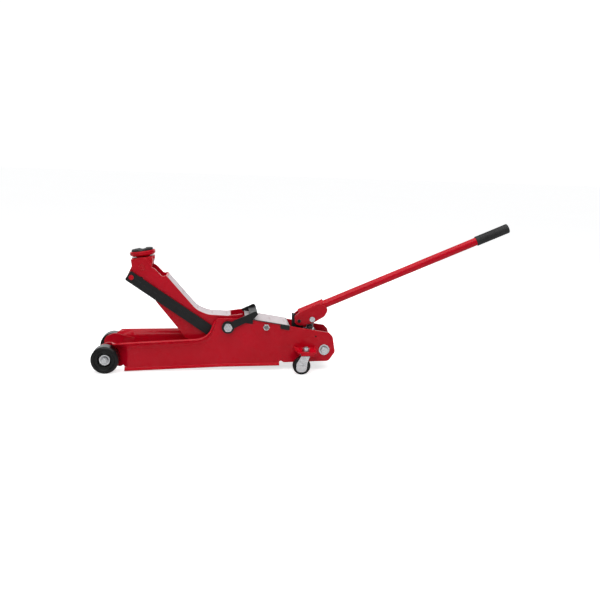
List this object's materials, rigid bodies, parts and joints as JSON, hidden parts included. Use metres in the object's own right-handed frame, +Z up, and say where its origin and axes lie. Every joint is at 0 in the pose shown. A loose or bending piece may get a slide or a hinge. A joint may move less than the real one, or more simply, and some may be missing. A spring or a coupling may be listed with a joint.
{
  "type": "trolley jack",
  "caption": "Raised hydraulic trolley jack: splayed steel chassis on two wheels and two casters, lift arm with swivel saddle, pump handle with grip.",
  "frame": {"origin": "on the floor, below the middle of the bounding box in X and Y", "axes": "+X from the front wheels towards the handle grip, +Y to the right-hand side plate, +Z up"},
  "size_m": [1.2, 0.229, 0.4333],
  "materials": {
    "red_paint": "gloss",
    "black_paint": "satin",
    "black_nylon": "satin",
    "black_rubber": "matte",
    "label": "satin",
    "zinc_steel": "zinc plated",
    "ground_steel": "polished",
    "plain_steel": "oiled",
    "cast_housing": "painted black"
  },
  "bodies": {
    "chassis": {"side_plate_left": "red_paint", "side_plate_right": "red_paint", "front_axle": "zinc_steel", "axle_washers": "zinc_steel", "axle_nuts": "zinc_steel", "tie_rod": "zinc_steel", "tie_spacer": "plain_steel", "tie_nuts": "zinc_steel", "link_anchor_pins": "plain_steel", "arm_pivot_shaft": "plain_steel", "arm_pivot_bolts": "zinc_steel", "arm_pivot_washers": "zinc_steel", "cylinder_head": "black_paint", "pressure_cylinder": "plain_steel", "reservoir_tube": "black_paint", "filler_plug": "black_rubber", "pump_block": "cast_housing", "trunnion_bolts": "zinc_steel", "trunnion_washers": "zinc_steel", "return_springs": "plain_steel", "socket_bracket": "black_paint", "pump_gland": "zinc_steel", "plunger_spring": "plain_steel", "cover_plate": "black_paint", "cover_label": "label", "caster_bracket_left": "red_paint", "caster_bracket_right": "red_paint"},
    "front_wheel_left": {"front_wheel_left": "black_nylon"},
    "front_wheel_right": {"front_wheel_right": "black_nylon"},
    "lift_arm": {"lift_arm": "red_paint", "arm_label": "label", "head_pin": "red_paint", "crank_pin": "plain_steel"},
    "saddle_head": {"saddle_head": "red_paint", "link_pins": "red_paint"},
    "links": {"link_left": "black_paint", "link_right": "black_paint"},
    "saddle": {"saddle": "red_paint", "saddle_pad": "black_rubber"},
    "ram": {"ram_head": "plain_steel", "ram": "ground_steel"},
    "handle_socket": {"handle_socket": "red_paint", "socket_pin": "black_paint", "roller_bolt": "zinc_steel"},
    "pump_roller": {"pump_roller": "plain_steel"},
    "handle": {"handle_tube": "red_paint", "handle_grip": "black_rubber"},
    "pump_plunger": {"pump_plunger": "ground_steel"},
    "release_valve": {"release_valve": "plain_steel"},
    "carry_handle": {"carry_handle": "black_paint"},
    "caster_left": {"caster_fork_left": "zinc_steel", "caster_kingpin_left": "zinc_steel", "caster_axle_left": "zinc_steel"},
    "caster_right": {"caster_fork_right": "zinc_steel", "caster_kingpin_right": "zinc_steel", "caster_axle_right": "zinc_steel"},
    "caster_wheel_left": {"caster_wheel_left": "black_nylon"},
    "caster_wheel_right": {"caster_wheel_right": "black_nylon"}
  },
  "joints": [
    {"name": "lift_arm_hinge", "type": "hinge", "parent": "chassis", "child": "lift_arm", "pos_m": [-0.22521, 0, 0.125], "axis": [0, 1, 0], "range_deg": [-50.4, 6]},
    {"name": "saddle_head_hinge", "type": "hinge", "parent": "lift_arm", "child": "saddle_head", "pos_m": [-0.46651, 0, 0.289], "axis": [0, 1, 0], "range_deg": [-6.61, 55.45]},
    {"name": "link_hinge", "type": "hinge", "parent": "saddle_head", "child": "links", "pos_m": [-0.49551, 0, 0.2605], "axis": [0, 1, 0], "range_deg": [-53.43, 6.37]},
    {"name": "saddle_swivel", "type": "hinge", "parent": "saddle_head", "child": "saddle", "pos_m": [-0.46738, 0, 0.3192], "axis": [-0.1478, 0, 0.989], "continuous": true},
    {"name": "ram_slide", "type": "slide", "parent": "chassis", "child": "ram", "axis": [-1, 0, 0], "range_m": [-0.04713, 0.0057], "deforming": ["return_springs"]},
    {"name": "carry_handle_hinge", "type": "hinge", "parent": "chassis", "child": "carry_handle", "pos_m": [-0.22521, 0, 0.125], "axis": [0, -1, 0], "range_deg": [-6, 80]},
    {"name": "handle_socket_hinge", "type": "hinge", "parent": "chassis", "child": "handle_socket", "pos_m": [-0.01901, 0, 0.1375], "axis": [0, -1, 0], "range_deg": [-12, 38]},
    {"name": "pump_roller_spin", "type": "hinge", "parent": "handle_socket", "child": "pump_roller", "pos_m": [0.01899, 0, 0.1434], "axis": [0, 1, 0], "continuous": true},
    {"name": "handle_twist", "type": "hinge", "parent": "handle_socket", "child": "handle", "pos_m": [-0.02431, 0, 0.14959], "axis": [0.9159, 0, 0.4013], "range_deg": [0, 360]},
    {"name": "release_valve_turn", "type": "hinge", "parent": "chassis", "child": "release_valve", "pos_m": [-0.01801, 0.0225, 0.108], "axis": [0, 0, 1], "range_deg": [0, 360.01]},
    {"name": "pump_plunger_slide", "type": "slide", "parent": "chassis", "child": "pump_plunger", "axis": [0, 0, 1], "range_m": [-0.00735, 0.02305], "deforming": ["plunger_spring"]},
    {"name": "front_wheel_left_spin", "type": "hinge", "parent": "chassis", "child": "front_wheel_left", "pos_m": [-0.56201, -0.09, 0.038], "axis": [0, 1, 0], "continuous": true},
    {"name": "caster_left_swivel", "type": "hinge", "parent": "chassis", "child": "caster_left", "pos_m": [-0.00551, -0.098, 0.0665], "axis": [0, 0, 1], "continuous": true},
    {"name": "caster_wheel_left_spin", "type": "hinge", "parent": "caster_left", "child": "caster_wheel_left", "pos_m": [-0.01671, -0.098, 0.025], "axis": [0, 1, 0], "continuous": true},
    {"name": "front_wheel_right_spin", "type": "hinge", "parent": "chassis", "child": "front_wheel_right", "pos_m": [-0.56201, 0.09, 0.038], "axis": [0, 1, 0], "continuous": true},
    {"name": "caster_right_swivel", "type": "hinge", "parent": "chassis", "child": "caster_right", "pos_m": [-0.00551, 0.098, 0.0665], "axis": [0, 0, 1], "continuous": true},
    {"name": "caster_wheel_right_spin", "type": "hinge", "parent": "caster_right", "child": "caster_wheel_right", "pos_m": [-0.01671, 0.098, 0.025], "axis": [0, 1, 0], "continuous": true}
  ],
  "couplings": [
    {"joint": "saddle_head_hinge", "follows": "lift_arm_hinge", "ratio": -1.1},
    {"joint": "link_hinge", "follows": "lift_arm_hinge", "ratio": 1.06},
    {"joint": "ram_slide", "follows": "lift_arm_hinge", "m_per_rad": 0.05346},
    {"joint": "pump_plunger_slide", "follows": "handle_socket_hinge", "m_per_rad": 0.0346},
    {"joint": "release_valve_turn", "follows": "handle_twist", "ratio": 1}
  ]
}
